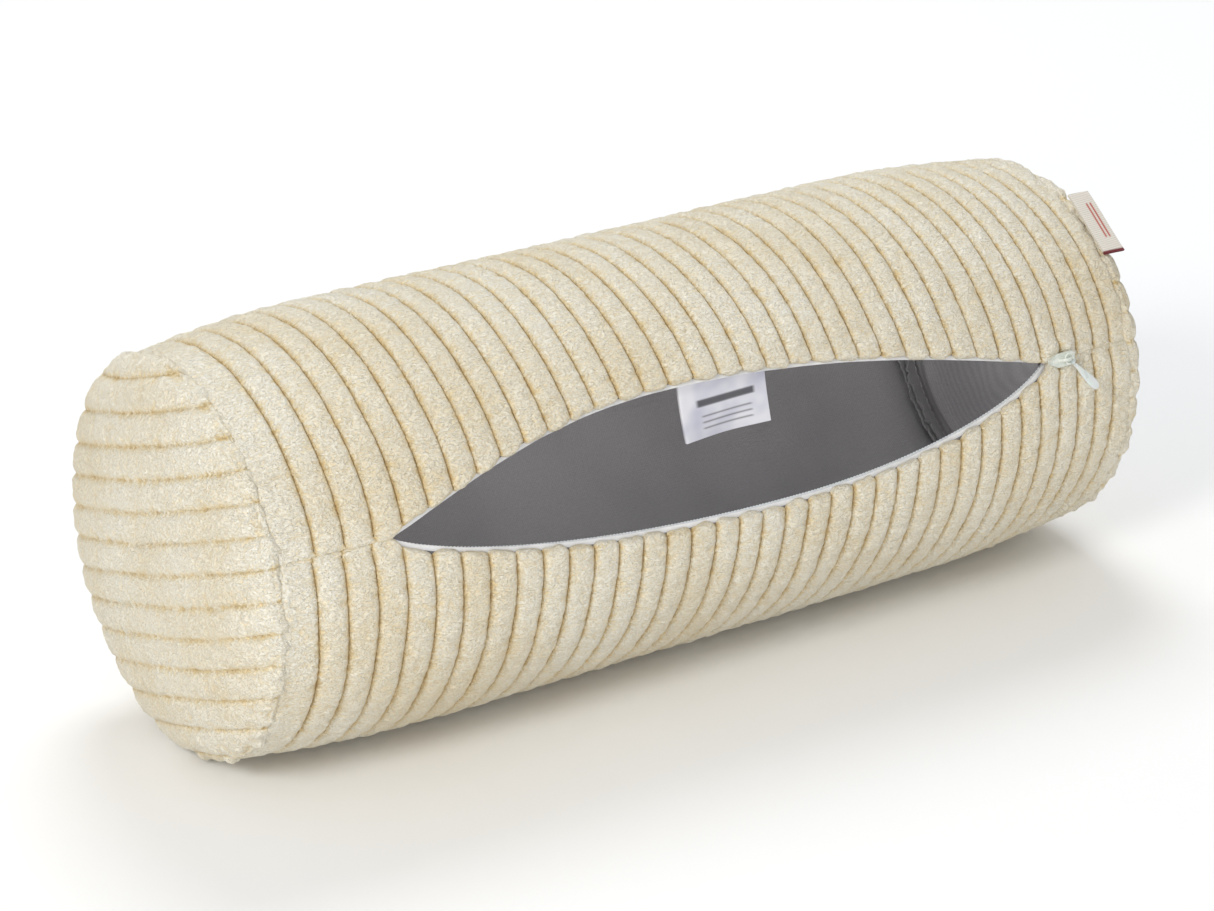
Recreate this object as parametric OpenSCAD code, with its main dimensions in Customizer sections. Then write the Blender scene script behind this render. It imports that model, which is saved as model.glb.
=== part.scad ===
// Bolster pillow: an empty wide-wale corduroy cover that keeps its round shape, with its zip drawn open.
// X runs along the barrel, Z is up and the zip faces -Y.
// The origin is the middle of the flat strip that the barrel rests on.

/* [Bolster] */
// Diameter of the barrel over the tops of the wales
barrel_d = 150; // [146:1:156]
// Length of the barrel panel, from end seam to end seam
barrel_len = 352; // [346:1:372]
// Diameter of each end seam
end_seam_d = 139.5; // [138:0.5:142]
// Stretch at each end over which the barrel narrows to its seam
shoulder_len = 70; // [60:1:80]
// How far each end panel bulges past its seam
crown_h = 19; // [16:1:22]
// How far the barrel is pressed flat where it rests
rest_sink = 4; // [3:0.5:5]

/* [Cloth] */
// Thickness of the corduroy, pile included
pile_t = 3.2; // [2.8:0.1:3.4]
// Thickness of the grey backing inside the corduroy
backing_t = 0.8; // [0.6:0.1:0.8]
// Width of the seam allowances inside the cover
allow_w = 8; // [7:1:9]
// Thickness of a seam allowance, two cloths together
allow_t = 4.4; // [4:0.1:5]

/* [Zip] */
// Height of the zip line round the barrel, in degrees above the horizontal
zip_angle = 18; // [14:1:22]
// Length of the zip's opening
mouth_len = 270; // [262:1:272]
// Angle between the zip line and each lip where the mouth is widest
lip_swing = 19.5; // [16:0.5:21]
// Angle from the zip line to where each moving lip begins
lip_reach = 50; // [46:1:56]
// Width of each zip tape behind its cloth
tape_w = 9; // [7:0.5:10]
// How far each tape stands out past its cloth
tape_show = 2; // [1.5:0.1:2.5]

/* [Slider] */
// Length of the slider
slider_len = 11; // [10:0.5:13]
// Width of the slider
slider_w = 4.8; // [4.6:0.1:5.6]
// Length of the teardrop pull
pull_len = 15; // [13:0.5:17]
// Widest part of the teardrop pull
pull_w = 3.6; // [3.2:0.1:4.4]
// Direction of the pull, in degrees below the zip line
pull_dir = 50; // [35:1:80]

/* [Labels] */
// Width of the care label
label_w = 36; // [32:1:40]
// Height of the care label
label_h = 24.5; // [22:0.5:26]
// Length of the side tag along the end seam
tag_len = 27; // [22:1:30]
// How far the side tag stands out of the end seam
tag_out = 8.5; // [8:0.5:11]

/* [Hidden] */
$fn = 96;

CREAM = "#efe3bd";
GREY = "#6b696b";
WHITE = "#f4f4f2";
STEEL = "#c9ccd0";

barrel_r = barrel_d / 2;
seam_r = end_seam_d / 2;
half_len = barrel_len / 2;
half_mouth = mouth_len / 2;
axis_h = barrel_r - rest_sink;
far = 200;            // past the whole cover, for cutting solids
profile_steps = 8;    // facets along a shoulder or a crown
lip_steps = 22;       // facets along the edge of a lip
bond = 0.1;           // clearance between bonded layers
body_gap = 0.4;       // clearance between the barrel and its moving lips
slit = 0.4;           // least distance from the zip line to a lip

backing_top = pile_t + bond;
backing_foot = backing_top + backing_t;
tape_top = backing_foot + bond;
tape_foot = tape_top + 0.7;
coil_top = tape_foot + bond;
coil_foot = coil_top + 1.6;
thread_t = 0.5;

// The slider lies in the valley of the seam, just past the right end of the mouth.
slider_x = half_mouth + 4.5;
slider_t = 2;
slider_crown = 0.3;
slider_z = 73;
valley_z = slider_z - 0.6;
valley_w = slider_w + 1.6;

// A half-round bridge on the slider holds a ring, and the ring holds the pull.
bridge_r = 1.8;
bridge_bar_r = 0.5;
ring_r = 1.8;
ring_wire_r = 0.35;
eye_r = 0.85;
eye_bore_r = 0.55;
pivot_z = slider_z + slider_t + slider_crown + eye_r + 0.1;
pull_t = 1.1;

label_y = -52.4;
label_top = axis_h + 45;
label_x = -15;
tag_angle = 55;
tag_t = 0.9;

// Radius of the barrel at x: full in the middle, less at the shoulders.
function wall_r(x) = let (t = max(0, min(1, (half_len - abs(x)) / shoulder_len)))
    seam_r + (barrel_r - seam_r) * sin(90 * t);

// The places along X where the barrel's outline has a corner.
function barrel_stations() = [
    for (i = [0:profile_steps]) -half_len + shoulder_len * i / profile_steps,
    for (i = [profile_steps:-1:0]) half_len - shoulder_len * i / profile_steps];

// Angle of a lip above or below the zip line at x; the mouth is widest at peak.
function lip_angle(x, peak, fullness) =
    let (reach = x < peak ? half_mouth + peak : half_mouth - peak,
         t = min(1, abs(x - peak) / reach))
    lip_swing * pow(1 - t * t, fullness);
function upper_edge(x) = max(slit, barrel_r * sin(lip_angle(x, -25, 1.15)));
function lower_edge(x) = max(slit, barrel_r * sin(lip_angle(x, 25, 0.75)));

// Stations along a lip, closer together towards the ends of the mouth.
lip_x = [for (i = [0:lip_steps]) -half_mouth * cos(180 * i / lip_steps)];

// Axis of the barrel, with local X along -Y and local Z along -X.
module on_axis() {
    translate([0, 0, axis_h]) rotate([90, 0, -90]) children();
}

// Frame of the zip: Z points out of the barrel at the zip line, Y points up round the barrel.
module zip_frame(angle = zip_angle) {
    translate([0, 0, axis_h]) rotate([90 - angle, 0, 0]) children();
}

// The barrel as a solid, its cloth thinned by inset and cut flat where it rests.
module barrel_solid(inset, past = 0) {
    ends = half_len + past;
    outline = concat([[0, -ends], [wall_r(half_len) - inset, -ends]],
        [for (x = barrel_stations()) [wall_r(x) - inset, x]],
        [[wall_r(half_len) - inset, ends], [0, ends]]);
    intersection() {
        on_axis() rotate_extrude() polygon(outline);
        translate([-far - 50, -far, inset]) cube([2 * far + 100, 2 * far, 2 * far]);
    }
}

// One layer of the barrel's wall, from depth top to depth foot.
module barrel_layer(top, foot) {
    difference() {
        barrel_solid(top, -0.1);
        barrel_solid(foot, 2);
    }
}

// The part of the barrel from angle a to angle b round the zip line, over a length.
module sector(a, b, length) {
    mid = (a + b) / 2;
    zip_frame() rotate([90, 0, 90]) linear_extrude(length, center = true)
        polygon([[0, 0], for (v = [a, mid, b]) [far * sin(v), far * cos(v)]]);
}

// The mouth between the two lips, as a prism that points out of the barrel.
module mouth_prism() {
    upper = [for (x = lip_x) [x, upper_edge(x)]];
    lower = [for (i = [lip_steps:-1:0]) [lip_x[i], -lower_edge(lip_x[i])]];
    ends = half_mouth + 2;
    outline = concat([[-ends, slit]], upper, [[ends, slit], [ends, -slit]], lower, [[-ends, -slit]]);
    zip_frame() linear_extrude(far) polygon(outline);
}

// A strip along a lip, from distance a to distance b behind its edge; side is 1 above and -1 below.
module lip_strip(side, a, b) {
    edge = [for (x = lip_x) side > 0 ? upper_edge(x) : lower_edge(x)];
    near = [for (i = [0:lip_steps]) [lip_x[i], side * max(slit, edge[i] + a)]];
    back = [for (i = [lip_steps:-1:0]) [lip_x[i], side * (max(slit, edge[i] + a) + b - a)]];
    zip_frame() linear_extrude(far) polygon(concat(near, back));
}

// The barrel's wall round the lips, with a valley along the zip line for the seam and the slider.
module barrel_wall(top, foot) {
    difference() {
        barrel_layer(top, foot);
        sector(-lip_reach, lip_reach, mouth_len + 2 * body_gap);
        zip_frame() translate([-far, -valley_w / 2, valley_z]) cube([2 * far, valley_w, far]);
    }
}

// A lip's wall, cut back where the slider rests.
module lip_wall(side, top, foot) {
    clear = body_gap / barrel_r * 180 / PI;
    difference() {
        intersection() {
            barrel_layer(top, foot);
            if (side > 0) sector(0, lip_reach - clear, mouth_len);
            else sector(clear - lip_reach, 0, mouth_len);
        }
        mouth_prism();
        zip_frame() translate([slider_x - slider_len / 2 - 1, -valley_w / 2, valley_z])
            cube([far, valley_w, far]);
    }
}

module barrel_panel() {
    color(CREAM) barrel_wall(0, pile_t);
}

module barrel_backing() {
    color(GREY) barrel_wall(backing_top, backing_foot);
}

module upper_lip_panel() {
    color(CREAM) lip_wall(1, 0, pile_t);
}

module upper_lip_backing() {
    color(GREY) lip_wall(1, backing_top, backing_foot);
}

module lower_lip_panel() {
    color(CREAM) lip_wall(-1, 0, pile_t);
}

module lower_lip_backing() {
    color(GREY) lip_wall(-1, backing_top, backing_foot);
}

// Puts what is made for the right end at the left end when side is -1.
module at_end(side) {
    if (side > 0) children();
    else mirror([1, 0, 0]) children();
}

// Half of a crowned end as a solid of revolution, thinned by inset.
module end_solid(inset) {
    crown = [for (i = [0:profile_steps]) let (t = 90 * i / profile_steps)
        [(seam_r - inset) * cos(t), -half_len - (crown_h - inset) * sin(t)]];
    on_axis() rotate_extrude() polygon(concat([[0, -half_len]], crown));
}

module end_layer(side, top, foot) {
    at_end(side) difference() {
        end_solid(top);
        end_solid(foot);
        translate([0, -far, -far]) cube([half_len + 0.1, 2 * far, 2 * far]);
    }
}

module left_end_panel() {
    color(CREAM) end_layer(-1, 0, pile_t);
}

module left_end_backing() {
    color(GREY) end_layer(-1, backing_top, backing_foot);
}

module right_end_panel() {
    color(CREAM) end_layer(1, 0, pile_t);
}

module right_end_backing() {
    color(GREY) end_layer(1, backing_top, backing_foot);
}

// The allowances of the barrel and of an end panel, sewn together and turned flat along the barrel.
allow_r = seam_r - backing_foot - 0.3;
module end_allowance(side) {
    color(GREY) at_end(side) on_axis() rotate_extrude()
        polygon([[allow_r, -half_len + 0.8], [allow_r, -half_len + 0.8 + allow_w],
            [allow_r - allow_t, -half_len + 0.8 + allow_w], [allow_r - allow_t, -half_len + 0.8]]);
}

module left_end_allowance() {
    end_allowance(-1);
}

module right_end_allowance() {
    end_allowance(1);
}

// A thread that runs round an end seam, inside its allowance.
module end_stitching(side) {
    color(WHITE) at_end(side) on_axis() rotate_extrude()
        translate([allow_r - allow_t - 0.35, -half_len + 2.2]) circle(d = thread_t, $fn = 16);
}

module left_end_stitching() {
    end_stitching(-1);
}

module right_end_stitching() {
    end_stitching(1);
}

// The stretch of the lengthwise seam that is sewn shut, between the mouth and an end seam.
seam_from = half_mouth + 7;
seam_to = half_len - allow_w - 2.5;
module seam_allowance(side) {
    color(GREY) at_end(side) zip_frame()
        translate([seam_from, -allow_t / 2, allow_r - allow_w])
            cube([seam_to - seam_from, allow_t, allow_w]);
}

module left_seam_allowance() {
    seam_allowance(-1);
}

module right_seam_allowance() {
    seam_allowance(1);
}

module seam_stitching(side) {
    color(WHITE) at_end(side) zip_frame()
        translate([seam_from, allow_t / 2 + 0.05, allow_r - 1.5])
            cube([seam_to - seam_from, thread_t, thread_t]);
}

module left_seam_stitching() {
    seam_stitching(-1);
}

module right_seam_stitching() {
    seam_stitching(1);
}

module zip_tape(side) {
    color(WHITE) intersection() {
        barrel_layer(tape_top, tape_foot);
        lip_strip(side, -tape_show, tape_w);
    }
}

module upper_zip_tape() {
    zip_tape(1);
}

module lower_zip_tape() {
    zip_tape(-1);
}

// The coil is sewn along the tape's edge, on its inner side.
module zip_coil(side) {
    color(WHITE) intersection() {
        barrel_layer(coil_top, coil_foot);
        lip_strip(side, -tape_show, 1.8 - tape_show);
    }
}

module upper_zip_coil() {
    zip_coil(1);
}

module lower_zip_coil() {
    zip_coil(-1);
}

// The seam that holds a tape to its lip.
module zip_stitching(side) {
    color(WHITE) intersection() {
        barrel_layer(coil_top, coil_top + thread_t);
        lip_strip(side, 4, 4.6);
    }
}

module upper_zip_stitching() {
    zip_stitching(1);
}

module lower_zip_stitching() {
    zip_stitching(-1);
}

// A stop of pressed wire across both coils, at an end of the mouth.
stop_len = 3;
stop_w = 4.4;
stop_t = 1.6;
module zip_stop(side) {
    color(STEEL) at_end(side) zip_frame() difference() {
        translate([half_mouth + 2.5, -stop_w / 2, barrel_r - coil_foot - stop_t])
            cube([stop_len, stop_w, stop_t]);
        translate([half_mouth + 1.5, -0.4, barrel_r - coil_foot - stop_t / 2])
            cube([stop_len + 2, 0.8, stop_t]);
    }
}

module zip_top_stop() {
    zip_stop(-1);
}

module zip_bottom_stop() {
    zip_stop(1);
}

// Outline of the slider: a pointed nose at the left, where it parts the coils, and a square tail.
module slider_outline(grow = 0) {
    r = slider_w / 2 + grow;
    nose = slider_len / 2 + grow;
    polygon([[-nose, 0.9], [-nose + 3, r], [nose - 1, r], [nose, r - 1],
        [nose, 1 - r], [nose - 1, -r], [-nose + 3, -r], [-nose, -0.9]]);
}

module slider_body() {
    color(STEEL) zip_frame() translate([slider_x, 0, slider_z]) difference() {
        union() {
            linear_extrude(slider_t) slider_outline();
            linear_extrude(slider_t + slider_crown) slider_outline(-1);
        }
        for (side = [-1, 1])
            translate([slider_len / 2 - 3, side * 1.3 - 0.5, -1]) cube([4, 1, 1 + slider_t / 2]);
    }
}

// A half ring that stands on the slider along the zip, with a short foot at each end.
module slider_bridge() {
    foot_z = slider_z + slider_t + slider_crown;
    color(STEEL) zip_frame() translate([slider_x, 0, 0]) {
        translate([0, 0, pivot_z]) rotate([90, 0, 0])
            rotate_extrude(angle = 180, $fn = 48) translate([bridge_r, 0]) circle(bridge_bar_r, $fn = 24);
        for (side = [-1, 1]) translate([side * bridge_r, 0, foot_z])
            cylinder(h = pivot_z - foot_z, r = bridge_bar_r, $fn = 24);
    }
}

// The ring passes under the bridge and lies towards the end of the zip.
module pull_ring() {
    color(STEEL) zip_frame() translate([slider_x + ring_r, 0, pivot_z])
        rotate_extrude($fn = 48) translate([ring_r, 0]) circle(ring_wire_r, $fn = 24);
}

// A teardrop with a bored eye, which slides round the ring.
module pull_tab() {
    neck = 1.5;
    color(WHITE) zip_frame() translate([slider_x + ring_r, 0, pivot_z])
        rotate([0, 0, -pull_dir]) translate([ring_r, 0, 0]) difference() {
            union() {
                rotate([90, 0, 0]) cylinder(h = 1.6, r = eye_r, center = true, $fn = 32);
                translate([0, 0, -pull_t / 2]) linear_extrude(pull_t) hull() {
                    translate([neck, 0]) circle(0.7, $fn = 32);
                    translate([pull_len - pull_w / 2, 0]) circle(d = pull_w, $fn = 48);
                }
                translate([eye_r / 2, -0.5, -0.5]) cube([neck, 1, 1]);
            }
            rotate([90, 0, 0]) cylinder(h = 4, r = eye_bore_r, center = true, $fn = 32);
        }
}

// A folded satin label that hangs behind the upper lip.
module care_label() {
    color(WHITE) difference() {
        translate([label_x, label_y - 0.4, label_top - label_h]) cube([label_w, 0.8, label_h]);
        translate([label_x - 1, label_y - 0.05, label_top - label_h + 0.5]) cube([label_w + 2, 0.1, label_h]);
    }
}

module care_label_stitching() {
    spots = 5;
    color(WHITE) for (i = [0:spots - 1])
        translate([label_x + 4 + i * (label_w - 8) / (spots - 1), label_y + 0.45, label_top - 1.4])
            cube([3, thread_t, thread_t]);
}

// A folded woven tag, caught in the right end seam.
module side_tag() {
    color(WHITE) zip_frame(tag_angle) translate([half_len + 0.4, -tag_len / 2, seam_r + 0.25]) difference() {
        cube([tag_out, tag_len, tag_t]);
        translate([-1, -1, tag_t / 2 - 0.05]) cube([tag_out + 0.4, tag_len + 2, 0.1]);
    }
}

barrel_panel();
barrel_backing();
upper_lip_panel();
upper_lip_backing();
lower_lip_panel();
lower_lip_backing();
left_end_panel();
left_end_backing();
right_end_panel();
right_end_backing();
left_end_allowance();
right_end_allowance();
left_end_stitching();
right_end_stitching();
left_seam_allowance();
right_seam_allowance();
left_seam_stitching();
right_seam_stitching();
upper_zip_tape();
lower_zip_tape();
upper_zip_coil();
lower_zip_coil();
upper_zip_stitching();
lower_zip_stitching();
zip_top_stop();
zip_bottom_stop();
slider_body();
slider_bridge();
pull_ring();
pull_tab();
care_label();
care_label_stitching();
side_tag();
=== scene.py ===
from math import cos, pi, radians, sin

import bmesh
import bpy
import numpy as np
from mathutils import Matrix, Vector


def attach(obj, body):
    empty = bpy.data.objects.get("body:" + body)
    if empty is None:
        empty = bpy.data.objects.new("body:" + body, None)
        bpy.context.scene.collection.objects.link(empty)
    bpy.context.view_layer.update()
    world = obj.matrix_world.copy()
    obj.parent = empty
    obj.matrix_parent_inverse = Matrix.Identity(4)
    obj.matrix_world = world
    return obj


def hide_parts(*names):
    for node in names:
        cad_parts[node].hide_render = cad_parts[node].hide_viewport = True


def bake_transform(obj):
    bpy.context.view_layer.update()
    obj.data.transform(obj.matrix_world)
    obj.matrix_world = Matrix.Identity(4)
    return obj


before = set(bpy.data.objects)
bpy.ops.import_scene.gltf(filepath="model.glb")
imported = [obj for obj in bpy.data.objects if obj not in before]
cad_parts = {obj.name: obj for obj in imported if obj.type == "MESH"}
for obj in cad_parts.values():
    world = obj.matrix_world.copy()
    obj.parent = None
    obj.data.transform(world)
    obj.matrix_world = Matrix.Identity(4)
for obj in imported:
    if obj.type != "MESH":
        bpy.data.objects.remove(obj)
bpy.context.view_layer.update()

# Sizes in millimetres, as in the CAD model. X runs along the barrel, Z is up and the zip faces -Y.
BARREL_R, SEAM_R, HALF_LEN, SHOULDER = 75.0, 69.75, 176.0, 70.0
CROWN, AXIS_Z, ZIP = 19.0, 71.0, 18.0
HALF_MOUTH, SWING = 135.0, 19.5
WALE_DEPTH = 2.2           # from the top of a wale to the foot of its groove
CORE = 0.45                # radius of a fold under the pile
FOLD = WALE_DEPTH + CORE   # depth of a fold's centre line
PILE_FOOT = 3.1            # inner face of the corduroy
PITCH, PITCH_FALL = 9.7, 0.0037  # wales' width at the middle, and how it shrinks towards +X
FIRST_GROOVE = -162.5
SLIDER_X = 139.5           # middle of the slider at rest
PARKED_X = -127.5          # about where it ends up when the zip is closed
STITCH_PITCH, STITCH = 3.1, 2.5
PRESS = 1.3                # how softly the barrel passes into the strip pressed flat on the floor
SIDES = ((-1, "left"), (1, "right"))


def noise(p, size, seed):
    """Smooth noise from -1 to 1 with features of about size, in millimetres."""
    q = np.asarray(p, float) / size + seed * 17.31
    i = np.floor(q).astype(np.int64)
    f = q - i
    f = f * f * (3 - 2 * f)
    total = np.zeros(q.shape[:-1])
    for a in (0, 1):
        for b in (0, 1):
            for c in (0, 1):
                h = ((i[..., 0] + a) * 73856093) ^ ((i[..., 1] + b) * 19349663) ^ ((i[..., 2] + c) * 83492791)
                h = ((h ^ (h >> 13)) * 1274126177) & 0x7FFFFFFF
                v = ((h ^ (h >> 15)) & 0xFFFF) / 32767.5 - 1
                w = (f[..., 0] if a else 1 - f[..., 0]) * (f[..., 1] if b else 1 - f[..., 1])
                total += v * w * (f[..., 2] if c else 1 - f[..., 2])
    return total


def smooth(t):
    """A soft step from 0 at t = 0 to 1 at t = 1."""
    t = np.clip(t, 0, 1)
    return t * t * (3 - 2 * t)


def wall_r(x):
    """Outer radius of the barrel at x; it narrows over the shoulders towards the end seams."""
    t = np.clip((HALF_LEN - np.abs(x)) / SHOULDER, 0, 1)
    return SEAM_R + (BARREL_R - SEAM_R) * np.sin(pi / 2 * t)


def lip_angle(x, side):
    """Angle from the zip line to a lip at x, in degrees; side is 1 above and -1 below."""
    peak, fullness = (-25, 1.15) if side > 0 else (25, 0.75)
    reach = np.where(x < peak, HALF_MOUTH + peak, HALF_MOUTH - peak)
    t = np.minimum(1, np.abs(x - peak) / reach)
    return SWING * (1 - t * t) ** fullness


def on_barrel(x, theta, r):
    """The point at x, at an angle above the horizontal towards -Y, at a distance from the axis."""
    a = np.radians(theta)
    return np.stack(np.broadcast_arrays(x, -r * np.cos(a), AXIS_Z + r * np.sin(a)), -1)


def resting_r(x, theta):
    """Radius of the barrel where it rests pressed flat on the floor."""
    r = wall_r(x)
    down = np.maximum(1e-3, -np.sin(np.radians(theta)))
    floor = np.minimum(AXIS_Z / down, 400)
    shift = 50  # keeps the exponentials within range
    return -PRESS * np.log(np.exp(-r / PRESS + shift) + np.exp(-floor / PRESS + shift)) + PRESS * shift


def seam_weight(x, theta, side):
    """How far a point follows its lip: all the way at the lip, not at all at the back."""
    edge = lip_angle(x, side)
    t = np.clip((side * (theta - ZIP) - edge) / (180 - edge), 0, 1)
    return edge / SWING * 0.5 * (1 + np.cos(pi * t))


def mesh(name, points, quads, ngons=(), material=None, sharp=60):
    """A mesh piece from points in millimetres."""
    points = np.asarray(points, float).reshape(-1, 3) / 1000
    quads = np.asarray(quads, np.int32).reshape(-1, 4)
    loops = np.concatenate([quads.ravel()] + [np.asarray(n, np.int32) for n in ngons])
    sizes = np.concatenate([np.full(len(quads), 4), [len(n) for n in ngons]]).astype(np.int32)
    data = bpy.data.meshes.new(name)
    data.vertices.add(len(points))
    data.vertices.foreach_set("co", points.ravel())
    data.loops.add(len(loops))
    data.loops.foreach_set("vertex_index", loops)
    data.polygons.add(len(sizes))
    data.polygons.foreach_set("loop_start", np.concatenate([[0], np.cumsum(sizes)[:-1]]).astype(np.int32))
    data.update(calc_edges=True)
    data.validate()
    bm = bmesh.new()
    bm.from_mesh(data)
    bmesh.ops.recalc_face_normals(bm, faces=bm.faces)
    bm.to_mesh(data)
    bm.free()
    data.shade_smooth()
    data.set_sharp_from_angle(angle=radians(sharp))
    piece = bpy.data.objects.new(name, data)
    bpy.context.scene.collection.objects.link(piece)
    if material:
        data.materials.append(material)
    return piece


def grid_faces(rows, columns, wrap_rows=False, wrap_columns=False, start=0):
    """Quads of a grid of points, stored row by row."""
    index = start + np.arange(rows * columns).reshape(rows, columns)
    a = np.concatenate([index, index[:1]]) if wrap_rows else index
    a = np.concatenate([a, a[:, :1]], 1) if wrap_columns else a
    return np.stack([a[:-1, :-1], a[1:, :-1], a[1:, 1:], a[:-1, 1:]], -1).reshape(-1, 4)


def tube(name, rings, material, closed=False, sharp=60, thin=False, caps=None):
    """A closed shell through rings of points: rings[i, j] is point j of ring i.
    Each ring of a thin one runs out and back, so its ends are closed across."""
    n, m = rings.shape[:2]
    faces = grid_faces(n, m, wrap_rows=closed, wrap_columns=True)
    if closed:
        caps = []
    elif thin:
        j = np.arange(m // 2 - 1)
        strip = np.stack([j, j + 1, m - 2 - j, m - 1 - j], -1)
        faces, caps = np.concatenate([faces, strip, strip + (n - 1) * m]), []
    elif caps is None:
        caps = [np.arange(m)[::-1], (n - 1) * m + np.arange(m)]
    return mesh(name, rings, faces, caps, material, sharp)


def stitch_across(a, b, at_a, at_b):
    """Triangles between two lines of points, given where each point lies along them."""
    i = j = 0
    faces = []
    while i < len(a) - 1 or j < len(b) - 1:
        if j == len(b) - 1 or (i < len(a) - 1 and at_a[i + 1] <= at_b[j + 1]):
            faces.append(np.array([a[i], a[i + 1], b[j]]))
            i += 1
        else:
            faces.append(np.array([a[i], b[j + 1], b[j]]))
            j += 1
    return faces


def point_values(piece, name, values):
    """One number for each point, which the materials read."""
    data = piece.data.attributes.new(name, "FLOAT", "POINT")
    data.data.foreach_set("value", np.asarray(values, np.float32).ravel())


def follow_lip(piece, side, weights=None):
    """Bakes a piece's transform and works out how far each point would follow the upper lip (side 1) or the
    lower lip (side -1); the weights are not applied.
    """
    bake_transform(piece)
    co = np.empty(len(piece.data.vertices) * 3)
    piece.data.vertices.foreach_get("co", co)
    x, y, z = (co.reshape(-1, 3) * 1000).T
    theta = np.degrees(np.arctan2(z - AXIS_Z, -y))
    theta = np.where(side * (theta - ZIP) < -60, theta + side * 360, theta)
    if weights is None:
        weights = seam_weight(x, theta, side)
    weights = np.broadcast_to(np.asarray(weights, np.float32), x.shape)
    weights.astype(np.float32).copy()


# ---------------------------------------------------------------- materials

def srgb(r, g, b):
    """A linear colour from screen levels of 0 to 255."""
    return tuple(((v / 255) / 12.92 if v / 255 <= 0.04045 else ((v / 255 + 0.055) / 1.055) ** 2.4)
                 for v in (r, g, b)) + (1.0,)


class Shader:
    """A material, built up round its Principled BSDF from patterns in object space."""

    def __init__(self, name, **sockets):
        self.material = bpy.data.materials.new(name)
        self.material.use_nodes = True
        self.nodes, self.links = self.material.node_tree.nodes, self.material.node_tree.links
        self.bsdf = self.nodes["Principled BSDF"]
        for key, value in sockets.items():
            self.bsdf.inputs[key.replace("_", " ")].default_value = value
        self.place = self.nodes.new("ShaderNodeTexCoord").outputs["Object"]

    def link(self, a, b):
        self.links.new(a, b)

    def scaled(self, scale):
        node = self.nodes.new("ShaderNodeMapping")
        node.inputs["Scale"].default_value = scale
        self.link(self.place, node.inputs["Vector"])
        return node.outputs["Vector"]

    def noise(self, scale, detail=3.0, rough=0.55, vector=None):
        node = self.nodes.new("ShaderNodeTexNoise")
        node.inputs["Scale"].default_value = scale
        node.inputs["Detail"].default_value = detail
        node.inputs["Roughness"].default_value = rough
        self.link(vector or self.place, node.inputs["Vector"])
        return node.outputs["Fac"]

    def wave(self, scale, direction, distortion):
        node = self.nodes.new("ShaderNodeTexWave")
        node.bands_direction = direction
        node.inputs["Scale"].default_value = scale
        node.inputs["Distortion"].default_value = distortion
        node.inputs["Detail Scale"].default_value = 1.5
        self.link(self.place, node.inputs["Vector"])
        return node.outputs["Fac"]

    def attribute(self, name):
        node = self.nodes.new("ShaderNodeAttribute")
        node.attribute_name = name
        return node.outputs["Fac"]

    def math(self, kind, a, b):
        node = self.nodes.new("ShaderNodeMath")
        node.operation = kind
        for socket, value in zip(node.inputs, (a, b)):
            if isinstance(value, (int, float)):
                socket.default_value = value
            else:
                self.link(value, socket)
        return node.outputs[0]

    def spread(self, value, low, high):
        node = self.nodes.new("ShaderNodeMapRange")
        node.interpolation_type = "SMOOTHSTEP"
        node.inputs["From Min"].default_value, node.inputs["From Max"].default_value = low, high
        self.link(value, node.inputs["Value"])
        return node.outputs["Result"]

    def ramp(self, factor, *stops):
        node = self.nodes.new("ShaderNodeValToRGB")
        e = node.color_ramp.elements
        while len(e) < len(stops):
            e.new(0.5)
        for element, (position, colour) in zip(e, stops):
            element.position = position
            element.color = colour
        self.link(factor, node.inputs["Fac"])
        return node.outputs["Color"]

    def mix(self, factor, a, b, kind="MIX"):
        node = self.nodes.new("ShaderNodeMix")
        node.data_type, node.blend_type = "RGBA", kind
        for socket, value in ((node.inputs["Factor"], factor), (node.inputs[6], a), (node.inputs[7], b)):
            if isinstance(value, (int, float, tuple)):
                socket.default_value = value
            else:
                self.link(value, socket)
        return node.outputs[2]

    def colour(self, value):
        self.link(value, self.bsdf.inputs["Base Color"])

    def rough(self, value, low, high):
        node = self.nodes.new("ShaderNodeMapRange")
        node.inputs["To Min"].default_value, node.inputs["To Max"].default_value = low, high
        self.link(value, node.inputs["Value"])
        self.link(node.outputs["Result"], self.bsdf.inputs["Roughness"])

    def bump(self, height, distance, strength=1.0, over=None):
        node = self.nodes.new("ShaderNodeBump")
        node.inputs["Distance"].default_value = distance
        node.inputs["Strength"].default_value = strength
        self.link(height, node.inputs["Height"])
        if over is not None:
            self.link(over, node.inputs["Normal"])
        self.link(node.outputs["Normal"], self.bsdf.inputs["Normal"])
        return node.outputs["Normal"]


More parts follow.
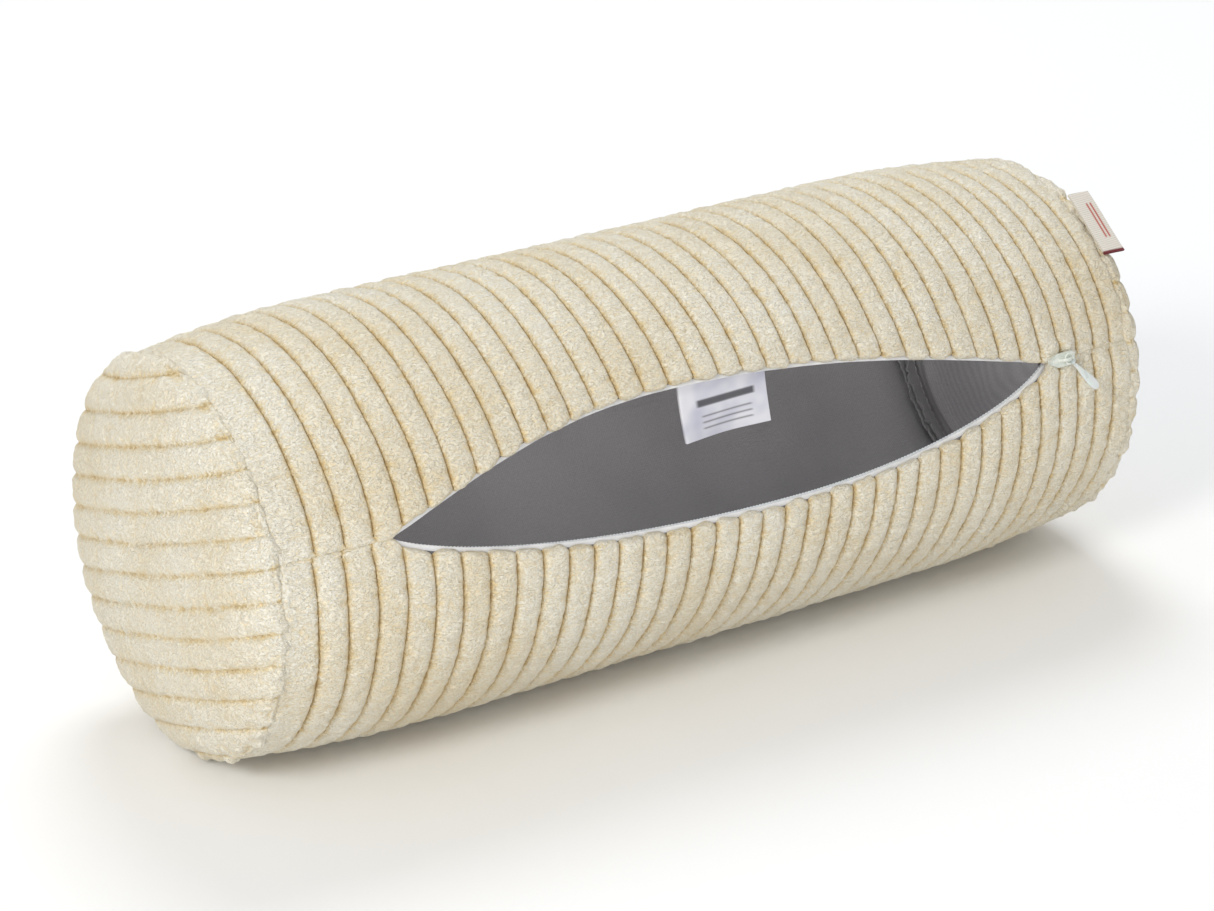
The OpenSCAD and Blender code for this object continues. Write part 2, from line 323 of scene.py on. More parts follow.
def corduroy():
    s = Shader("corduroy_pile", Roughness=0.9, Specular_IOR_Level=0.12, Sheen_Weight=0.22,
               Sheen_Roughness=0.5, Sheen_Tint=srgb(255, 246, 224))
    groove, pit_shade = s.attribute("groove"), s.attribute("pit_shade")
    across = s.scaled((0.6, 1, 1))
    tuft = s.spread(s.noise(760, 4, 0.65, across), 0.38, 0.62)
    fine = s.spread(s.noise(1800, 3, 0.65, across), 0.38, 0.62)
    broad = s.noise(26, 2, 0.5)
    # Painted shade: the colour darkens in the pits between the clumps and where the tuft pattern sinks.
    rough = s.math("ADD", s.math("MULTIPLY", s.math("SUBTRACT", 0.5, tuft), 0.3),
                   s.math("MULTIPLY", s.math("SUBTRACT", pit_shade, 0.5), 0.5))
    deep = s.math("ADD", groove, rough)
    # Painted shade in the grooves: the ramp runs darker and browner towards them, partly the pile's own
    # warmer tone there.
    base = s.ramp(deep, (0.0, srgb(255, 251, 238)), (0.3, srgb(253, 244, 221)), (0.5, srgb(246, 230, 192)),
                  (0.7, srgb(231, 209, 164)), (0.98, srgb(204, 174, 122)))
    # Painted shade between the fibres: the specks are darker where the fine bump pattern sinks.
    speck = s.ramp(fine, (0.0, srgb(230, 208, 160)), (0.5, srgb(255, 255, 255)))
    base = s.mix(0.4, base, speck, "MULTIPLY")
    patch = s.ramp(broad, (0.35, srgb(243, 233, 212)), (0.65, srgb(255, 255, 255)))
    s.colour(s.mix(0.5, base, patch, "MULTIPLY"))
    s.rough(tuft, 0.82, 0.97)
    low = s.bump(tuft, 0.0005, 0.75)
    s.bump(fine, 0.0003, 0.7, low)
    return s.material


def backing():
    s = Shader("backing_cloth", Roughness=0.85, Specular_IOR_Level=0.25, Sheen_Weight=0.15,
               Sheen_Roughness=0.5)
    lines = s.wave(420, "X", 0.6)
    cross = s.wave(420, "Z", 0.5)
    grain = s.noise(1500, 2, 0.6)
    broad = s.noise(22, 2, 0.5)
    base = s.ramp(lines, (0.0, srgb(120, 118, 119)), (1.0, srgb(128, 126, 127)))
    base = s.mix(0.3, base, s.ramp(grain, (0.3, srgb(170, 170, 172)), (0.7, srgb(255, 255, 255))), "MULTIPLY")
    patch = s.ramp(broad, (0.35, srgb(205, 205, 207)), (0.65, srgb(255, 255, 255)))
    s.colour(s.mix(0.35, base, patch, "MULTIPLY"))
    s.rough(grain, 0.78, 0.92)
    low = s.bump(lines, 0.00003, 0.3)
    low = s.bump(cross, 0.0001, 0.3, low)
    s.bump(grain, 0.0002, 0.5, low)
    return s.material


def woven(name, light, dark, scale=700.0, sheen=0.1):
    s = Shader(name, Roughness=0.7, Specular_IOR_Level=0.3, Sheen_Weight=sheen, Sheen_Roughness=0.4)
    a, b = s.wave(scale, "X", 0.4), s.wave(scale, "Z", 0.4)
    weave = s.math("MULTIPLY", a, b)
    grain = s.noise(900, 2, 0.6)
    base = s.ramp(weave, (0.0, dark), (0.6, light))
    speck = s.ramp(grain, (0.3, srgb(232, 233, 236)), (0.7, srgb(255, 255, 255)))
    s.colour(s.mix(0.25, base, speck, "MULTIPLY"))
    s.rough(grain, 0.6, 0.8)
    low = s.bump(weave, 0.00012, 0.6)
    s.bump(grain, 0.0001, 0.4, low)
    return s.material


def thread(name, dark, light):
    s = Shader(name, Roughness=0.6, Specular_IOR_Level=0.35, Sheen_Weight=0.2, Sheen_Roughness=0.4)
    twist = s.wave(900, "DIAGONAL", 0.3)
    s.colour(s.ramp(twist, (0.0, dark), (0.7, light)))
    s.rough(twist, 0.5, 0.75)
    s.bump(twist, 0.0001, 0.6)
    return s.material


def nylon():
    s = Shader("coil_nylon", Roughness=0.4, Specular_IOR_Level=0.5, Subsurface_Weight=0.15)
    grain = s.noise(700, 2, 0.5)
    s.colour(s.ramp(grain, (0.3, srgb(240, 242, 243)), (0.7, srgb(253, 254, 255))))
    s.rough(grain, 0.32, 0.5)
    s.bump(grain, 0.00008, 0.4)
    return s.material


def lacquer(name, light, worn):
    s = Shader(name, Roughness=0.35, Metallic=0.1, Specular_IOR_Level=0.5, Coat_Weight=0.35,
               Coat_Roughness=0.2)
    wear = s.noise(420, 4, 0.6)
    scratch = s.noise(900, 2, 0.5, s.scaled((1, 6, 1)))
    s.colour(s.ramp(wear, (0.35, light), (0.75, worn)))
    s.rough(scratch, 0.28, 0.5)
    s.bump(scratch, 0.00004, 0.35)
    return s.material


def milky():
    s = Shader("milky_plastic", Roughness=0.28, IOR=1.49, Transmission_Weight=0.15, Subsurface_Weight=0.3,
               Coat_Weight=0.2, Coat_Roughness=0.15)
    cloud = s.noise(260, 3, 0.5)
    s.colour(s.ramp(cloud, (0.3, srgb(238, 243, 239)), (0.7, srgb(252, 254, 252))))
    s.rough(cloud, 0.22, 0.38)
    s.bump(s.noise(1200, 2, 0.5), 0.00004, 0.3)
    return s.material


def satin():
    s = Shader("label_satin", Roughness=0.38, Specular_IOR_Level=0.5, Sheen_Weight=0.3, Sheen_Roughness=0.3,
               Anisotropic=0.4)
    float_yarn = s.wave(1500, "X", 0.6)
    fold = s.noise(60, 2, 0.5)
    # Painted shade and sheen: patches of noise make the satin darker and bluish in places and brighter in
    # others.
    base = s.ramp(fold, (0.3, srgb(190, 190, 210)), (0.55, srgb(232, 232, 240)), (0.8, srgb(250, 250, 252)))
    ink = s.attribute("ink")
    base = s.mix(ink, base, srgb(46, 46, 52))
    s.colour(base)
    s.rough(fold, 0.32, 0.48)
    low = s.bump(float_yarn, 0.00004, 0.4)
    s.bump(s.noise(90, 2, 0.5), 0.0006, 0.25, low)
    return s.material


def tag_cloth():
    s = Shader("tag_weave", Roughness=0.75, Specular_IOR_Level=0.25, Sheen_Weight=0.15, Sheen_Roughness=0.4)
    weave = s.math("MULTIPLY", s.wave(620, "X", 0.3), s.wave(620, "Z", 0.3))
    base = s.ramp(weave, (0.0, srgb(216, 208, 196)), (0.6, srgb(244, 240, 232)))
    base = s.mix(s.attribute("stripe"), base, srgb(186, 66, 48))
    base = s.mix(s.attribute("edge"), base, srgb(112, 34, 40))
    s.colour(base)
    s.rough(weave, 0.65, 0.85)
    s.bump(weave, 0.00016, 0.7)
    return s.material


CORD, GREY, NYLON = corduroy(), backing(), nylon()
THREAD = thread("sewing_thread", srgb(196, 186, 160), srgb(240, 233, 214))
GREY_THREAD = thread("grey_thread", srgb(92, 90, 92), srgb(128, 125, 127))
TAPE = woven("tape_weave", srgb(255, 255, 255), srgb(244, 245, 249))
METAL = lacquer("slider_lacquer", srgb(236, 240, 233), srgb(206, 212, 202))
STEEL = lacquer("stop_metal", srgb(196, 199, 203), srgb(150, 152, 155))
PLASTIC, SATIN, TAG = milky(), satin(), tag_cloth()
for node, material in (("slider_body", METAL), ("slider_bridge", METAL), ("pull_ring", METAL),
                       ("zip_top_stop", STEEL), ("zip_bottom_stop", STEEL)):
    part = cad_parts[node]
    if part.material_slots:
        for slot in part.material_slots:
            slot.material = material
    else:
        part.data.materials.append(material)


# ---------------------------------------------------------------- corduroy of the barrel

ROWS, INNER_ROWS = 290, 40  # from the lip to the back, outside and inside
LAST_GROOVE = 35
WALE_STEPS = [0, 0.025, 0.06, 0.11, 0.19, 0.3, 0.43, 0.57, 0.7, 0.81, 0.89, 0.94, 0.975]


def wale_x(w):
    """Where wale coordinate w lies along the barrel; each groove is at a whole number."""
    start = PITCH - PITCH_FALL * FIRST_GROOVE
    x = (PITCH - start * np.exp(-PITCH_FALL * w)) / PITCH_FALL
    return np.where(w < 0, FIRST_GROOVE + (HALF_LEN + FIRST_GROOVE) * w, x)


def ridge(u):
    """Height of the pile across a wale, from 0 in the groove to 1 along the middle."""
    e = np.abs(2 * u - 1)
    return (1 - np.minimum(1, e) ** 3.1) ** 0.56


def slider_room(x):
    """How far the folds stand back where the slider ends up when the zip is closed."""
    return 1.3 * np.exp(-((x - PARKED_X) / 7) ** 4)


def corduroy_half(name, side):
    """Half of the barrel's corduroy, from a lip to the back, turned in at the lip and at both end seams.

    Its columns follow the wales. CHI is the turn of the fold at the end seams and PSI at the lip, both in
    degrees; T runs from the lip to the back.
    """
    w = np.array([i + s for i in range(-1, LAST_GROOVE) for s in WALE_STEPS] + [LAST_GROOVE], float)
    base_x = wale_x(w)
    height = ridge(w - np.floor(w))
    height = np.where((w < -0.5) | (w > LAST_GROOVE - 0.5), np.maximum(height, 0.93), height)
    hollow = 1 - height
    height = np.where(w < 0, np.minimum(height, 0.86), height)
    chi = 90 * np.clip((np.abs(base_x) - (HALF_LEN - FOLD)) / FOLD, 0, 1)
    more = np.array([112.0, 132, 152])
    chi = np.concatenate([-more[::-1], np.where(base_x < 0, -chi, chi), more])
    base_x = np.concatenate([[-HALF_LEN] * 3, base_x, [HALF_LEN] * 3])
    height = np.concatenate([height[:1].repeat(3), height, height[-1:].repeat(3)])
    hollow = np.concatenate([hollow[:1].repeat(3), hollow, hollow[-1:].repeat(3)])
    core_x = np.clip(base_x, -(HALF_LEN - FOLD), HALF_LEN - FOLD)

    psi = np.concatenate([np.array([-78, -60, -42, -24, -8, 6, 20, 34, 48, 62, 76]), np.full(ROWS, 90.0)])
    t = np.concatenate([np.zeros(11), np.linspace(0, 1, ROWS)])
    X, PSI = np.broadcast_arrays(core_x[:, None], psi[None])
    T, CHI = np.broadcast_arrays(t[None], chi[:, None])
    H, G = height[:, None] + 0 * PSI, hollow[:, None] + 0 * PSI

    def angles(x):
        lip = lip_angle(x, side)
        # The folds press together where the seam is shut.
        tuck = FOLD + slider_room(x) - 0.75 * (1 - smooth(lip / 3))
        edge = lip + np.degrees(tuck / wall_r(x))
        return ZIP + side * (edge + (180 - edge) * T)

    theta = angles(X)
    p = on_barrel(X, theta, wall_r(X))
    inside = smooth((HALF_LEN - 3 - np.abs(X)) / 12)
    drift = 1.1 * noise(p, 62, 3) + 0.45 * noise(p, 21, 5)
    near = np.exp(-((side * (theta - ZIP) / 34) ** 2))
    drift = drift + (1.6 if side > 0 else -1.2) * near * (0.6 + 0.4 * noise(p, 90, 6))
    X = X + drift * inside
    theta = angles(X)
    open_part = smooth(lip_angle(X, side) / 3)

    # The cloth dips into the seam where it is sewn shut.
    away = np.radians(side * (theta - ZIP)) * BARREL_R
    dip = 1.1 * np.exp(-(away / 5) ** 2) * (1 - open_part)
    # The pile stands up beside the slider.
    dip = dip - 2.0 * np.exp(-((X - SLIDER_X) / 8.5) ** 4 - ((away - 4.2) / 3.0) ** 2)
    swell = 0.75 * noise(p, 58, 11) + 0.35 * noise(p, 24, 12)
    pinch = 0.9 * np.exp(-((HALF_LEN - np.abs(X)) / 7) ** 2) * noise(p, 15, 14)
    r = resting_r(X, theta) - FOLD - dip + (swell + pinch) * 0.5 - 0.55
    r = np.minimum(r, resting_r(X, theta) - FOLD + 0.9 * (away < 14))

    # Pile, in clumps that grow where the wales end.
    edge_clump = np.maximum(smooth((90 - PSI) / 45), smooth(np.abs(CHI) / 40))
    near_end = np.maximum(edge_clump, smooth((8 - (HALF_LEN - np.abs(X))) / 8) * 0.8)
    q = on_barrel(X, theta, r + FOLD) + np.stack(np.broadcast_arrays(CHI * 0.03, 0 * PSI, PSI * 0.03), -1)
    clump = 0.26 * noise(q, 3.4, 21) + 0.34 * noise(q * (0.7, 1, 1), 1.8, 22)
    clump = clump + near_end * (0.75 * noise(q, 3.9, 23))
    closed = edge_clump * (1 - open_part * smooth((60 - np.abs(CHI)) / 60))
    clump = np.where(closed > 0.3, np.maximum(clump, -0.1), clump)
    H = H + (1 - H) * (0.9 * closed)
    H = H + (1 - H) * 0.18 * edge_clump
    fade = smooth((165 - np.abs(CHI)) / 60) * smooth((PSI + 78) / 60)
    lift = CORE + fade * (WALE_DEPTH * H * (1 + 0.05 * noise(q, 14, 25)) + clump * (0.35 + 0.65 * H) - 0.35)
    lift = np.maximum(lift, CORE * 0.6)

    c, s = np.cos(np.radians(CHI)), np.sin(np.radians(CHI))
    up, out = np.sin(np.radians(PSI)), np.cos(np.radians(PSI))
    a = np.radians(theta)
    radial = np.stack([0 * a, -np.cos(a), np.sin(a)], -1)
    tangent = -side * np.stack([0 * a, np.sin(a), np.cos(a)], -1)
    normal = radial * (c * up)[..., None] + tangent * (c * out)[..., None]
    normal[..., 0] += s
    outer = on_barrel(X, theta, r) + normal * lift[..., None]
    outer[..., 2] = np.maximum(outer[..., 2], 0.02)

    rows = np.linspace(1, 0, INNER_ROWS)
    xi = np.clip(X[:, -1], -(HALF_LEN - FOLD), HALF_LEN - FOLD)[:, None] + 0 * rows[None]
    xi = xi + (np.sign(CHI[:, :1]) * np.maximum(0, np.sin(np.radians(np.abs(CHI[:, :1]))) * CORE * 0.5))
    edge = lip_angle(xi, side) + np.degrees((FOLD + slider_room(xi)) / wall_r(xi))
    th = ZIP + side * (edge + (180 - edge) * rows)
    inner = on_barrel(xi, th, resting_r(xi, th) - PILE_FOOT - 0.25)
    rings = np.concatenate([outer, inner], 1)
    m = rings.shape[1]
    across_a = np.concatenate([np.linspace(-0.04, -0.004, 11), np.linspace(0, 1, ROWS)])
    across_b = np.linspace(-0.04, 1, INNER_ROWS)
    caps = []
    for start in (0, (len(rings) - 1) * m):
        outside, inside = start + np.arange(m - INNER_ROWS), start + m - 1 - np.arange(INNER_ROWS)
        caps += stitch_across(outside, inside, across_a, across_b)
    piece = tube(name, rings, CORD, sharp=70, caps=caps)
    lining = np.full(inner.shape[:2], 0.5)
    # These values paint shade into the pile's colour: darker in the hollows between clumps and in the
    # grooves, the grooves partly their own warmer tone.
    pit_shade = np.clip(0.5 - 1.1 * clump, 0, 1)
    point_values(piece, "groove", np.concatenate([np.clip(G * 0.95 - 0.06, 0, 1), lining], 1))
    point_values(piece, "pit_shade", np.concatenate([pit_shade, lining], 1))
    follow_lip(piece, side)
    return piece


upper_cloth = corduroy_half("upper_corduroy", 1)
lower_cloth = corduroy_half("lower_corduroy", -1)
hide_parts("upper_lip_panel", "barrel_panel")
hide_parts("lower_lip_panel")

# ---------------------------------------------------------------- crowned end panels

END_PITCH, END_SHIFT, END_TURN, GRID = 10.5, 2.0, 19.0, 200


def disc_grid(n):
    """A square grid drawn out to a unit disc: points (n, n, 2) and the indices round its rim."""
    v = np.linspace(-1, 1, n)
    a, b = np.meshgrid(v, v, indexing="ij")
    big = np.where(np.abs(a) > np.abs(b), a, b)
    small = np.where(np.abs(a) > np.abs(b), b, a)
    turn = pi / 4 * small / np.where(big == 0, 1, big)
    p = np.where(np.abs(a) > np.abs(b), big * np.cos(turn), big * np.sin(turn))
    q = np.where(np.abs(a) > np.abs(b), big * np.sin(turn), big * np.cos(turn))
    index = np.arange(n * n).reshape(n, n)
    rim = np.concatenate([index[:-1, 0], index[-1, :-1], index[:0:-1, -1], index[0, :0:-1]])
    return np.stack([p, q], -1), rim


def crown(u, v, inset):
    """A point of the crowned end: (u, v) in the unit disc, and its outward normal; X is outwards."""
    rho = np.clip(np.hypot(u, v), 0, 1)
    t = pi / 2 * (1 - rho)
    R, C = SEAM_R - inset, CROWN - inset
    flat = np.where(rho > 1e-6, rho, 1)
    r = R * np.cos(t)
    x = HALF_LEN + C * np.sin(t)
    nr, nx = np.cos(t) / R, np.sin(t) / C
    size = np.hypot(nr, nx)
    p = np.stack([x, u / flat * r, v / flat * r], -1)
    normal = np.stack([nx / size, u / flat * nr / size, v / flat * nr / size], -1)
    return p, normal


def end_height(p, side):
    """Height of the pile on a crowned end, from 0 in a groove to 1."""
    level = p[..., 1] * sin(radians(END_TURN)) + p[..., 2] * cos(radians(END_TURN))
    bow = 0.9 * noise(p, 45, 31 + side) + 0.35 * noise(p, 18, 33)
    w = (level + END_SHIFT + bow) / END_PITCH
    return ridge(w - np.floor(w))


def end_panel(name, side):
    """A crowned end: the pile, the roll round its rim and its inner face, as one closed shell."""
    disc, rim = disc_grid(GRID)
    u, v = disc[..., 0].ravel(), disc[..., 1].ravel()
    rho = np.hypot(u, v)
    # The rim stops short of the seam, and rolls in from there.
    roll_from = 1 - (FOLD - 0.7) / (SEAM_R * 1.12)  # the two folds press together
    p, normal = crown(u * roll_from, v * roll_from, FOLD)
    H = end_height(p, side)
    edge = smooth((rho - 0.86) / 0.14)
    hollow = 1 - H
    clump = 0.26 * noise(p, 3.4, 41) + 0.34 * noise(p, 1.8, 42) + edge * 1.7 * noise(p, 3.4, 43)
    swell = 0.6 * noise(p, 40, 44) - 0.4
    H = H + (1 - H) * 0.6 * edge
    clump = np.where(rho > 0.985, np.maximum(clump, -0.1), clump)
    lift = CORE + WALE_DEPTH * (0.12 + 0.88 * H) + clump * (0.35 + 0.65 * H) - 0.35
    top = p + normal * (lift + swell)[:, None]
    rim_p, rim_n = p[rim], normal[rim]
    rim_lift, rim_swell = lift[rim], swell[rim]
    back = np.array([-1.0, 0, 0])
    loops, hollows = [], []
    for chi in (14, 28, 42, 56, 70, 84, 98, 116, 136, 158):
        a = radians(chi)
        d = rim_n * cos(a) + back * sin(a)
        d /= np.linalg.norm(d, axis=1)[:, None]
        fade = float(smooth((165 - chi) / 70))
        ruffle = 0.7 * noise(rim_p + chi * 0.05, 2.4, 45) + 0.5 * noise(rim_p, 4.4, 47)
        reach = CORE + fade * (rim_lift - CORE + ruffle)
        loops.append(rim_p + d * np.maximum(reach, 0.2)[:, None] + rim_n * (rim_swell * fade)[:, None])
        hollows.append(hollow[rim])
    m = len(rim)
    ring_u, ring_v = u[rim], v[rim]
    for f in (0.97, 0.93, 0.88, 0.82, 0.75, 0.67, 0.58, 0.48, 0.37, 0.25, 0.12, 0.03):
        q, _ = crown(ring_u * f, ring_v * f, PILE_FOOT + 0.1)
        loops.append(q)
        hollows.append(np.full(m, 0.5))
    points = np.concatenate([top] + loops)
    n = GRID * GRID
    index = np.vstack([rim] + [n + k * m + np.arange(m) for k in range(len(loops))])
    a, b = index[:-1], index[1:]
    strips = np.stack([a, b, np.roll(b, -1, 1), np.roll(a, -1, 1)], -1).reshape(-1, 4)
    points[:, 2] += AXIS_Z
    points[:, 0] *= side
    points[:, 2] = np.maximum(points[:, 2], 0.02)
    piece = mesh(name, points, np.concatenate([grid_faces(GRID, GRID), strips]), [index[-1]], CORD, 70)
    # These values paint shade into the pile's colour: darker in the hollows between clumps and in the
    # grooves, the grooves partly their own warmer tone.
    groove = np.concatenate([np.clip(h * 0.8 - 0.08, 0, 1) for h in [hollow] + hollows])
    point_values(piece, "groove", groove)
    pit_shade = np.clip(0.5 - 1.1 * clump, 0, 1)
    point_values(piece, "pit_shade", np.concatenate([pit_shade, np.tile(pit_shade[rim], len(loops))]))
    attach(piece, "cover")
    return piece


left_end = end_panel("left_end_corduroy", -1)
right_end = end_panel("right_end_corduroy", 1)
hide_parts("left_end_panel")
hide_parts("right_end_panel")

# ---------------------------------------------------------------- grey backing

def backing_half(name, side):
    """Half of the barrel's grey backing, against the corduroy outside and slightly creased inside."""
    x = np.linspace(-(HALF_LEN - 3.4), HALF_LEN - 3.4, 170)
    out_t, in_t = np.linspace(0, 1, 64), np.linspace(1, 0, 64)
    X, T = np.meshgrid(x, np.concatenate([out_t, in_t]), indexing="ij")
    outside = np.arange(128)[None] < 64
    edge = lip_angle(X, side) + np.degrees(1.6 / wall_r(X))
    theta = ZIP + side * (edge + (180 - edge) * T)
    p = on_barrel(X, theta, wall_r(X))
    free = smooth(np.radians(side * (theta - ZIP) - edge) * BARREL_R / 16 - 0.7)
    free = free * smooth((HALF_LEN - 4 - np.abs(X)) / 10)
    wave = 0.8 * (1 + noise(p, 34, 51)) + 0.35 * (1 + noise(p, 11, 52))
    wave = wave + 0.03 * np.cos(2 * pi * X / PITCH)
    wave = wave * free * (1 - np.abs(2 * T - 1) ** 12)
    depth = np.where(outside, 3.45, 4.15 + wave)
    piece = tube(name, on_barrel(X, theta, resting_r(X, theta) - depth), GREY, thin=True)
    follow_lip(piece, side)
    return piece


upper_backing = backing_half("upper_backing_cloth", 1)
lower_backing = backing_half("lower_backing_cloth", -1)
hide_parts("upper_lip_backing", "barrel_backing")
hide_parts("lower_lip_backing")


def end_backing(name, side):
    """The backing of a crowned end, creased on the side that faces the cavity."""
    turn = np.linspace(0, 2 * pi, 180, endpoint=False)
    f = np.concatenate([np.linspace(0.03, 0.985, 40), np.linspace(0.985, 0.03, 40)])
    F, A = np.meshgrid(f, turn, indexing="ij")
    outside = (np.arange(80) < 40)[:, None]
    p, normal = crown(F * np.cos(A), F * np.sin(A), 3.6)
    fold = 0.9 * (1 + noise(p, 26, 61 + side)) + 0.5 * (1 + noise(p, 9, 63))
    crease = 2.2 * np.exp(-(((F - 0.72 + 0.06 * np.sin(2 * A)) / 0.05) ** 2))
    depth = np.where(outside, 0, 0.7 + (fold + crease) * smooth((0.97 - F) / 0.1))
    points = p - normal * depth[..., None]
    points[..., 2] += AXIS_Z
    points[..., 0] *= side
    piece = tube(name, points, GREY)
    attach(piece, "cover")
    return piece


left_end_cloth = end_backing("left_end_backing_cloth", -1)
right_end_cloth = end_backing("right_end_backing_cloth", 1)
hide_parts("left_end_backing")
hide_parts("right_end_backing")

# ---------------------------------------------------------------- seam allowances, frayed at the cut edge

ALLOW_R, ALLOW_W = 65.35, 8.0  # their outer radius, and their width
END_ALLOW_X, END_ALLOW_W = 174.6, 8.2


def end_allowance(name, side):
    """Two cloths sewn together at the end seam, turned flat along the barrel's wall."""
    a = np.linspace(0, 2 * pi, 900, endpoint=False)
    ring = np.stack([0 * a, np.cos(a) * 65, np.sin(a) * 65], -1)
    pieces = []
    for k, (outer, inner) in enumerate(((65.2, 63.5), (63.1, 61.4))):
        fray = 0.9 * noise(ring + 50 * k, 1.6, 73) + 0.7 * noise(ring + 50 * k, 4.5, 74) + 0.8 * k
        lift = 0.5 + 0.6 * noise(ring + 9 * k, 24, 71 + side) + 0.4 * noise(ring, 8, 72)
        profile = []
        for r, f in ((outer, 0), (outer, 0.3), (outer, 0.6), (outer, 0.9), (outer - 0.3, 1), (inner + 0.3, 1),
                     (inner, 0.9), (inner, 0.6), (inner, 0.3), (inner, 0)):
            x = END_ALLOW_X - END_ALLOW_W * f + fray * smooth((f - 0.6) / 0.4)
            rr = r - np.maximum(lift, 0) * f - 5.0 * f ** 1.6
            profile.append(np.stack([x + 0 * a, rr * np.cos(a), rr * np.sin(a)], -1))
        rings = np.stack(profile, 1)
        rings[..., 0] *= side
        rings[..., 2] += AXIS_Z
        piece = tube(f"{name}_{'ab'[k]}", rings, GREY, closed=True)
        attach(piece, "cover")
        pieces.append(piece)
    return pieces


for side, word in SIDES:
    for piece in end_allowance(f"{word}_end_allowance_cloth", side):
        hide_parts(f"{word}_end_allowance")


def zip_point(x, y, z, angle=ZIP):
    """A point in the frame of the zip line: y along the wall, upwards, and z out from the axis."""
    a = radians(angle)
    x, y, z = np.broadcast_arrays(np.asarray(x, float), y, z)
    return np.stack([x, -z * cos(a) + y * sin(a), AXIS_Z + z * sin(a) + y * cos(a)], -1)


def seam_allowance(name, side):
    """The two cut edges of the lengthwise seam between the zip and an end seam."""
    x = np.linspace(142, 165, 80)
    for k, y in enumerate((-1.15, 1.15)):
        fray = 0.7 * noise(np.stack([x, 0 * x + 9 * k, 0 * x], -1), 1.7, 81)
        lean = np.sign(y) * (0.5 + 0.5 * noise(np.stack([x, 0 * x, 0 * x], -1), 12, 82))
        profile = []
        for dy, f in ((-1, 0), (-1, 0.4), (-1, 0.8), (-0.85, 1), (0.85, 1), (1, 0.8), (1, 0.4), (1, 0)):
            r = ALLOW_R - ALLOW_W * f - fray * smooth((f - 0.5) / 0.5)
            profile.append(zip_point(side * x, y + dy * 0.95 + lean * f, r))
        piece = tube(f"{name}_{'ab'[k]}", np.stack(profile, 1), GREY)
        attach(piece, "cover")
        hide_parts(name.replace("_cloth", ""))


for side, word in SIDES:
    seam_allowance(f"{word}_seam_allowance_cloth", side)

# ---------------------------------------------------------------- zip tapes, coils and stitches

def stitches(name, ends, r=0.27, material=None):
    """A row of stitches: ends is a list of (start, end, outward normal)."""
    f = np.array([0, 0.08, 0.25, 0.5, 0.75, 0.92, 1.0])
    size = np.array([0.25, 0.75, 1, 1.06, 1, 0.75, 0.25])
    sides = np.linspace(0, 2 * pi, 6, endpoint=False)
    points, quads, caps, n = [], [], [], 0
    for start, end, normal in ends:
        along = (end - start) / np.linalg.norm(end - start)
        across = np.cross(normal, along)
        across /= np.linalg.norm(across)
        up = np.cross(along, across)
        centre = start + (end - start) * f[:, None] + up * (r * 0.35 * np.sin(pi * f))[:, None]
        rings = centre[:, None] + r * size[:, None, None] * (
            across * np.cos(sides)[:, None] + up * np.sin(sides)[:, None])[None]
        points.append(rings.reshape(-1, 3))
        quads.append(grid_faces(7, 6, wrap_columns=True, start=n))
        caps += [n + np.arange(6)[::-1], n + 36 + np.arange(6)]
        n += 42
    return mesh(name, np.concatenate(points), np.concatenate(quads), caps, material or THREAD)


def lip_point(x, side, a, inset):
    """A point beside a lip: a is the distance behind its edge, along the barrel."""
    theta = ZIP + side * (lip_angle(x, side) + np.degrees(a / BARREL_R))
    return on_barrel(x, theta, wall_r(x) - inset)


TAPE_END, COIL_END, TAPER_END, TAPER = 137.5, 135, 139, 9
TOOTH_PITCH = 1.3


def zip_side(side, word, show):
    """The tape, the coil and the stitches of one lip.

    show is how far the tape's edge stands out past the lip; it is below 0 where the tape lies behind.
    """
    x = np.linspace(-TAPE_END, TAPE_END, 320)
    taper = smooth((TAPER_END - np.abs(x)) / TAPER)
    loop = [(-show, 4.25), (-show - 0.1, 4.5), (-show, 4.8)]
    loop += [(a, 4.9) for a in (0, 2, 4, 6, 8)] + [(9, 4.8), (9, 4.35)] + [(a, 4.22) for a in (8, 6, 4, 2, 0)]
    wobble = 0.18 * noise(np.stack([x, 0 * x, 0 * x + 30 * side], -1), 9, 91)
    rings = np.stack([lip_point(x, side, (a + wobble) * taper + (1 - taper) * (a + show + 0.2), inset)
                      for a, inset in loop], 1)
    tape = tube(f"{word}_zip_tape_cloth", rings, TAPE)

    along = np.linspace(-COIL_END, COIL_END, 208 * 6)
    tooth = np.abs(np.sin(pi * along / TOOTH_PITCH))
    taper = smooth((TAPER_END - np.abs(along)) / TAPER)
    around = np.linspace(0, 2 * pi, 10, endpoint=False)
    centre = (-show + 0.95) * taper + 1.2 * (1 - taper)
    rings = np.stack([lip_point(along, side, centre + np.cos(b) * (0.72 + 0.32 * tooth),
                                5.75 + np.sin(b) * (0.55 + 0.2 * tooth)) for b in around], 1)
    coil = tube(f"{word}_zip_coil_wire", rings, NYLON)

    pairs = []
    for s in np.arange(-131, 130, STITCH_PITCH):
        p, q = lip_point(np.array([s, s + STITCH]), side, 3.9, 5.05)
        inward = np.array([p[0], 0, AXIS_Z]) - p
        pairs.append((p, q, inward / np.linalg.norm(inward)))
    sewn = stitches(f"{word}_zip_stitches", pairs)
    for piece, slot, node in ((tape, "zip_tape", "zip_tape"), (coil, "zip_coil", "zip_coil"),
                              (sewn, "thread", "zip_stitching")):
        follow_lip(piece, side)
        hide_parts(f"{word}_{node}")
    return tape


upper_tape = zip_side(1, "upper", -0.5)
lower_tape = zip_side(-1, "lower", 0.35)

